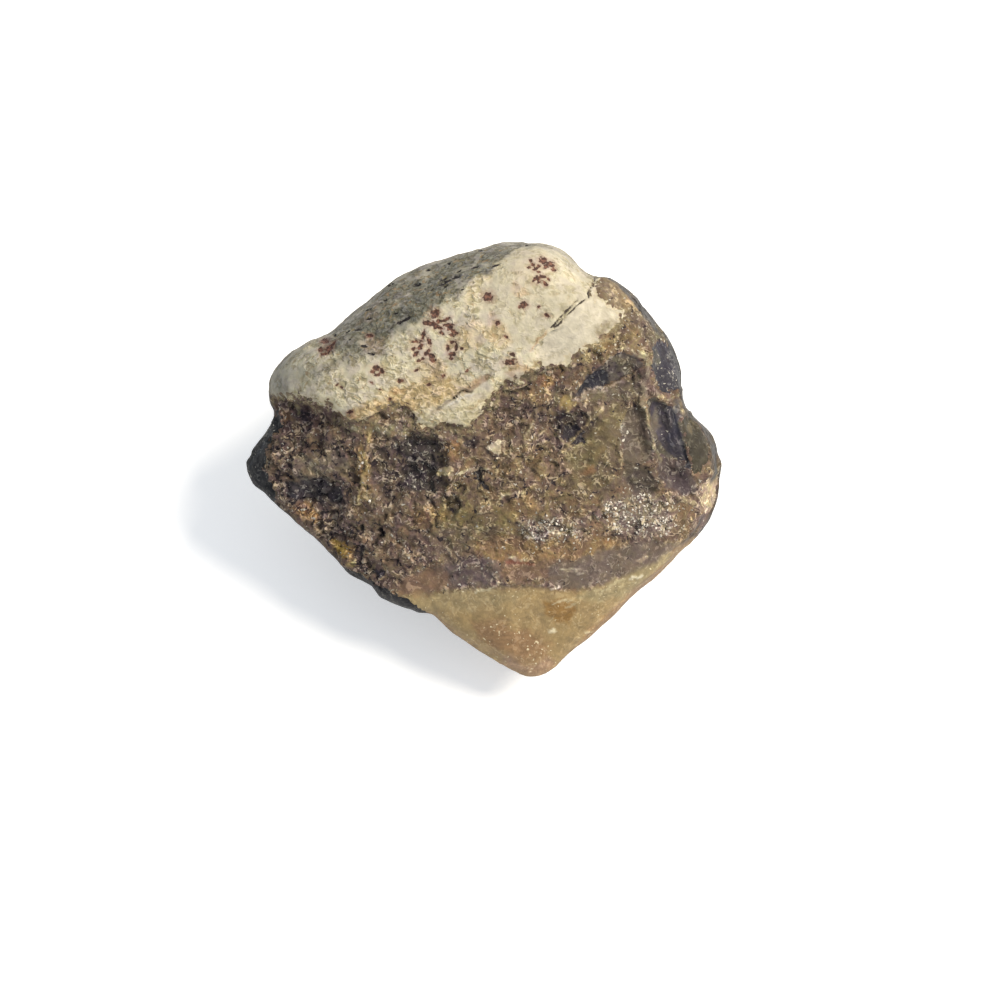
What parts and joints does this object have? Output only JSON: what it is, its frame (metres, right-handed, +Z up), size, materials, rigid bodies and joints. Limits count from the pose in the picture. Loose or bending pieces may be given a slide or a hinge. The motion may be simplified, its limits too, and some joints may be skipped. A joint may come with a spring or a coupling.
{
  "type": "rough mineral nodule",
  "caption": "Broken nodule of rough stone: a chalky rind over a dark, granular broken face and a smooth honey-coloured wedge, lying on a flat fracture.",
  "frame": {"origin": "centre of the bounding box's bottom face, on the surface that the stone rests on", "axes": "+X across the broken face, +Y along the floor towards the rind's end, +Z up from the flat fracture"},
  "size_m": [0.0704, 0.0626, 0.0437],
  "materials": {
    "stone": "chalky cream rind over dark grey-brown granular stone, honey-coloured and waxy at the wedge"
  },
  "bodies": {
    "root": {"rough_stone": "stone"}
  },
  "joints": []
}
